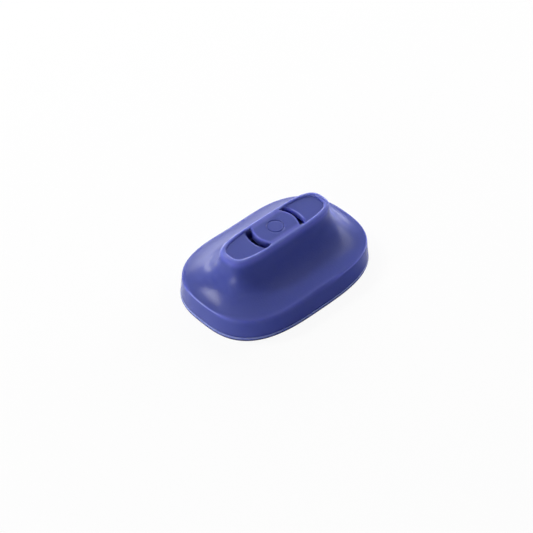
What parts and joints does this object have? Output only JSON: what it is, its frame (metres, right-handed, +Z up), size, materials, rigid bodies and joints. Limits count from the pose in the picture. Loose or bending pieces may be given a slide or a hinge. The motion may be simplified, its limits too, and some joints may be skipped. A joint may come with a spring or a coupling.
{
  "type": "raised mouthpiece cap",
  "caption": "Oval silicone cap that flares up to a narrow raised lip, with crescent air slots either side of a round press-through disc.",
  "frame": {"origin": "centre of the base plane", "axes": "+X along the oval's long axis, +Y across it, +Z up through the lip"},
  "size_m": [0.0304, 0.0206, 0.0102],
  "materials": {
    "silicone": "fine matte, translucent blue-violet silicone",
    "frame": "moulded matte plastic in the same colour"
  },
  "bodies": {
    "cap": {"outer_skin": "silicone", "inner_frame": "frame", "base_ring": "silicone", "socket_seal": "silicone", "end_pad_left": "silicone", "end_pad_right": "silicone", "web_front": "silicone", "web_back": "silicone"},
    "button": {"press_disc": "silicone", "pusher_stem": "frame"}
  },
  "joints": [
    {"name": "disc_press", "type": "slide", "parent": "cap", "child": "button", "axis": [0, 0, -1], "range_m": [0, 0.0005], "stiffness_N_per_m": 3000, "deforming": ["web_front", "web_back"]}
  ]
}
